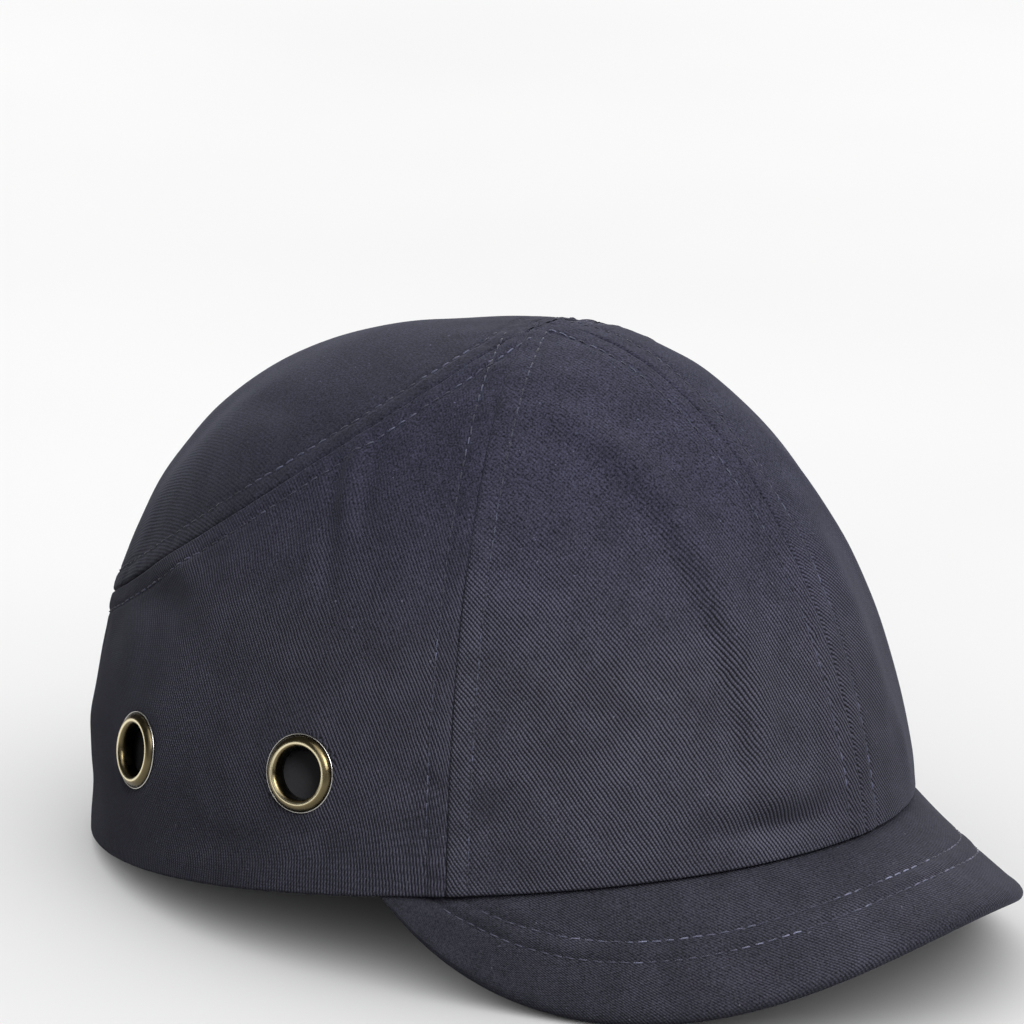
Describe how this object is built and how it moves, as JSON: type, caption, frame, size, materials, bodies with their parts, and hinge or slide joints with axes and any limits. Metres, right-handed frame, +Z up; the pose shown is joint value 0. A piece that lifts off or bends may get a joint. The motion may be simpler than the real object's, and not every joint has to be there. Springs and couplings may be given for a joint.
{
  "type": "bump cap",
  "caption": "Navy cotton bump cap with a short peak, brass eyelets, a vented hard shell with foam pads, a sweatband and a hook-and-loop rear adjuster",
  "frame": {"origin": "centre of the base of the bounding box, on the surface that the cap stands on", "axes": "+X forward, towards the peak; +Y to the wearer's left; +Z up; the cap stands on the foot of its side panels and on its peak, pitched nose up"},
  "size_m": [0.2514, 0.178, 0.1425],
  "materials": {
    "twill": "navy cotton twill, double-needle topstitching",
    "board": "natural polyethylene board",
    "shell": "textured black ABS",
    "foam": "closed-cell EVA foam, fine skin",
    "sweatband": "soft brushed cotton",
    "tape": "plain-weave cotton tape",
    "brass": "antique brass, worn bright on the crest",
    "webbing": "woven polyester webbing",
    "pile": "hook and loop pile",
    "loop_plastic": "satin acetal",
    "label": "white satin label, blank"
  },
  "bodies": {
    "cap": {"front_panel_right": "twill", "front_panel_left": "twill", "side_panel_right": "twill", "side_panel_left": "twill", "top_back_panel": "twill", "peak_top_cover": "twill", "peak_under_cover": "twill", "peak_board": "board", "bump_shell": "shell", "front_pad": "foam", "rear_pad": "foam", "side_pad_right": "foam", "side_pad_left": "foam", "crown_pad": "foam", "sweatband_foam": "foam", "sweatband": "sweatband", "seam_tape_front": "tape", "seam_tape_right": "tape", "seam_tape_left": "tape", "seam_tape_back": "tape", "rear_arch_binding": "tape", "eyelet_front_right": "brass", "eyelet_front_left": "brass", "eyelet_rear_right": "brass", "eyelet_rear_left": "brass", "eyelet_washer_front_right": "brass", "eyelet_washer_front_left": "brass", "eyelet_washer_rear_right": "brass", "eyelet_washer_rear_left": "brass", "adjuster_strap": "webbing", "adjuster_tab": "webbing", "loop_patch": "pile", "care_label": "label"},
    "slide_loop": {"slide_loop": "loop_plastic"},
    "strap_tail": {"strap_tail": "webbing", "hook_patch": "pile"}
  },
  "joints": [
    {"name": "loop_swing", "type": "hinge", "parent": "cap", "child": "slide_loop", "pos_m": [-0.11585, 0.027, 0.0153], "axis": [0.0537, 0, -0.9986], "range_deg": [0, 15]},
    {"name": "tail_peel", "type": "hinge", "parent": "slide_loop", "child": "strap_tail", "pos_m": [-0.11585, 0.014, 0.0153], "axis": [0.0537, 0, -0.9986], "range_deg": [0, 120]}
  ]
}
